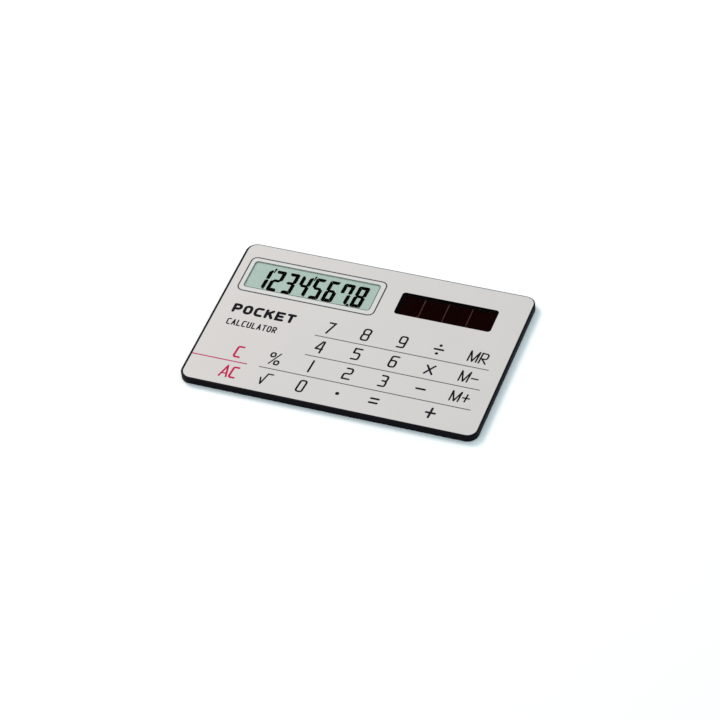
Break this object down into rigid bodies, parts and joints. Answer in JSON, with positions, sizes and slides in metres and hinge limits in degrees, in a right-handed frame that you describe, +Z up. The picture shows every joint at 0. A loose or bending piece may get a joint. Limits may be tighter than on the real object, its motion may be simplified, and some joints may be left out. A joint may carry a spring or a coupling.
{
  "type": "card calculator",
  "caption": "Flat pocket calculator in credit-card format: silver face sheet with flush sprung keys, display window and solar cell in a black moulded frame.",
  "frame": {"origin": "centre of the underside, on the plane it lies on", "axes": "+X to the right along the width, +Y towards the display edge, +Z up out of the face"},
  "size_m": [0.0856, 0.054, 0.0022],
  "materials": {
    "face_sheet": "light silver print on a smooth film, satin",
    "key_face": "light silver print on a smooth film, satin, with dark or red key legends",
    "frame_plastic": "black moulded plastic, satin",
    "rear_plastic": "black plastic, fine even grain",
    "clear_window": "clear, smooth",
    "lcd_polarizer": "pale grey-green display face, smooth",
    "lcd_glass": "clear thin glass",
    "lcd_reflector": "pale metallised film",
    "foam": "grey closed-cell foam",
    "connector_film": "amber film with dark printed tracks",
    "solar_glass": "clear thin glass",
    "solar_silicon": "very dark brown silicon, glossy, with thin brown lines between its cells",
    "lead_metal": "tinned copper strip",
    "board": "green circuit board",
    "spacer_film": "white film",
    "adhesive": "pale double-sided adhesive film",
    "chip_resin": "black resin drop",
    "capacitor": "brown ceramic with tinned ends",
    "diode": "black resin",
    "resistor": "dark ceramic with tinned ends"
  },
  "bodies": {
    "case": {"calculator_chip": "chip_resin", "capacitor_1": "capacitor", "capacitor_2": "capacitor", "circuit_board": "board", "display_window": "clear_window", "face_adhesive": "adhesive", "frame": "frame_plastic", "front_sheet": "face_sheet", "key_spacer_sheet": "spacer_film", "lcd_foam_pad": "foam", "lcd_front_glass": "lcd_glass", "lcd_front_polarizer": "lcd_polarizer", "lcd_heat_seal_connector": "connector_film", "lcd_rear_glass": "lcd_glass", "lcd_reflector": "lcd_reflector", "rear_adhesive": "adhesive", "rear_cover": "rear_plastic", "resistor_1": "resistor", "solar_cell_layer": "solar_silicon", "solar_glass": "solar_glass", "solar_lead_negative": "lead_metal", "solar_lead_positive": "lead_metal", "solar_window": "clear_window", "voltage_clamp_diode": "diode"},
    "key_0": {"key_0": "key_face"},
    "key_1": {"key_1": "key_face"},
    "key_2": {"key_2": "key_face"},
    "key_3": {"key_3": "key_face"},
    "key_4": {"key_4": "key_face"},
    "key_5": {"key_5": "key_face"},
    "key_6": {"key_6": "key_face"},
    "key_7": {"key_7": "key_face"},
    "key_8": {"key_8": "key_face"},
    "key_9": {"key_9": "key_face"},
    "key_all_clear": {"key_all_clear": "key_face"},
    "key_clear": {"key_clear": "key_face"},
    "key_decimal_point": {"key_decimal_point": "key_face"},
    "key_divide": {"key_divide": "key_face"},
    "key_equals": {"key_equals": "key_face"},
    "key_memory_minus": {"key_memory_minus": "key_face"},
    "key_memory_plus": {"key_memory_plus": "key_face"},
    "key_memory_recall": {"key_memory_recall": "key_face"},
    "key_minus": {"key_minus": "key_face"},
    "key_multiply": {"key_multiply": "key_face"},
    "key_percent": {"key_percent": "key_face"},
    "key_plus": {"key_plus": "key_face"},
    "key_square_root": {"key_square_root": "key_face"}
  },
  "joints": [
    {"name": "key_0_press", "type": "slide", "parent": "case", "child": "key_0", "axis": [0, 0, -1], "range_m": [0, 0.00024], "stiffness_N_per_m": 5000},
    {"name": "key_1_press", "type": "slide", "parent": "case", "child": "key_1", "axis": [0, 0, -1], "range_m": [0, 0.00024], "stiffness_N_per_m": 5000},
    {"name": "key_2_press", "type": "slide", "parent": "case", "child": "key_2", "axis": [0, 0, -1], "range_m": [0, 0.00024], "stiffness_N_per_m": 5000},
    {"name": "key_3_press", "type": "slide", "parent": "case", "child": "key_3", "axis": [0, 0, -1], "range_m": [0, 0.00024], "stiffness_N_per_m": 5000},
    {"name": "key_4_press", "type": "slide", "parent": "case", "child": "key_4", "axis": [0, 0, -1], "range_m": [0, 0.00024], "stiffness_N_per_m": 5000},
    {"name": "key_5_press", "type": "slide", "parent": "case", "child": "key_5", "axis": [0, 0, -1], "range_m": [0, 0.00024], "stiffness_N_per_m": 5000},
    {"name": "key_6_press", "type": "slide", "parent": "case", "child": "key_6", "axis": [0, 0, -1], "range_m": [0, 0.00024], "stiffness_N_per_m": 5000},
    {"name": "key_7_press", "type": "slide", "parent": "case", "child": "key_7", "axis": [0, 0, -1], "range_m": [0, 0.00024], "stiffness_N_per_m": 5000},
    {"name": "key_8_press", "type": "slide", "parent": "case", "child": "key_8", "axis": [0, 0, -1], "range_m": [0, 0.00024], "stiffness_N_per_m": 5000},
    {"name": "key_9_press", "type": "slide", "parent": "case", "child": "key_9", "axis": [0, 0, -1], "range_m": [0, 0.00024], "stiffness_N_per_m": 5000},
    {"name": "key_all_clear_press", "type": "slide", "parent": "case", "child": "key_all_clear", "axis": [0, 0, -1], "range_m": [0, 0.00024], "stiffness_N_per_m": 5000},
    {"name": "key_clear_press", "type": "slide", "parent": "case", "child": "key_clear", "axis": [0, 0, -1], "range_m": [0, 0.00024], "stiffness_N_per_m": 5000},
    {"name": "key_decimal_point_press", "type": "slide", "parent": "case", "child": "key_decimal_point", "axis": [0, 0, -1], "range_m": [0, 0.00024], "stiffness_N_per_m": 5000},
    {"name": "key_divide_press", "type": "slide", "parent": "case", "child": "key_divide", "axis": [0, 0, -1], "range_m": [0, 0.00024], "stiffness_N_per_m": 5000},
    {"name": "key_equals_press", "type": "slide", "parent": "case", "child": "key_equals", "axis": [0, 0, -1], "range_m": [0, 0.00024], "stiffness_N_per_m": 5000},
    {"name": "key_memory_minus_press", "type": "slide", "parent": "case", "child": "key_memory_minus", "axis": [0, 0, -1], "range_m": [0, 0.00024], "stiffness_N_per_m": 5000},
    {"name": "key_memory_plus_press", "type": "slide", "parent": "case", "child": "key_memory_plus", "axis": [0, 0, -1], "range_m": [0, 0.00024], "stiffness_N_per_m": 5000},
    {"name": "key_memory_recall_press", "type": "slide", "parent": "case", "child": "key_memory_recall", "axis": [0, 0, -1], "range_m": [0, 0.00024], "stiffness_N_per_m": 5000},
    {"name": "key_minus_press", "type": "slide", "parent": "case", "child": "key_minus", "axis": [0, 0, -1], "range_m": [0, 0.00024], "stiffness_N_per_m": 5000},
    {"name": "key_multiply_press", "type": "slide", "parent": "case", "child": "key_multiply", "axis": [0, 0, -1], "range_m": [0, 0.00024], "stiffness_N_per_m": 5000},
    {"name": "key_percent_press", "type": "slide", "parent": "case", "child": "key_percent", "axis": [0, 0, -1], "range_m": [0, 0.00024], "stiffness_N_per_m": 5000},
    {"name": "key_plus_press", "type": "slide", "parent": "case", "child": "key_plus", "axis": [0, 0, -1], "range_m": [0, 0.00024], "stiffness_N_per_m": 5000},
    {"name": "key_square_root_press", "type": "slide", "parent": "case", "child": "key_square_root", "axis": [0, 0, -1], "range_m": [0, 0.00024], "stiffness_N_per_m": 5000}
  ]
}
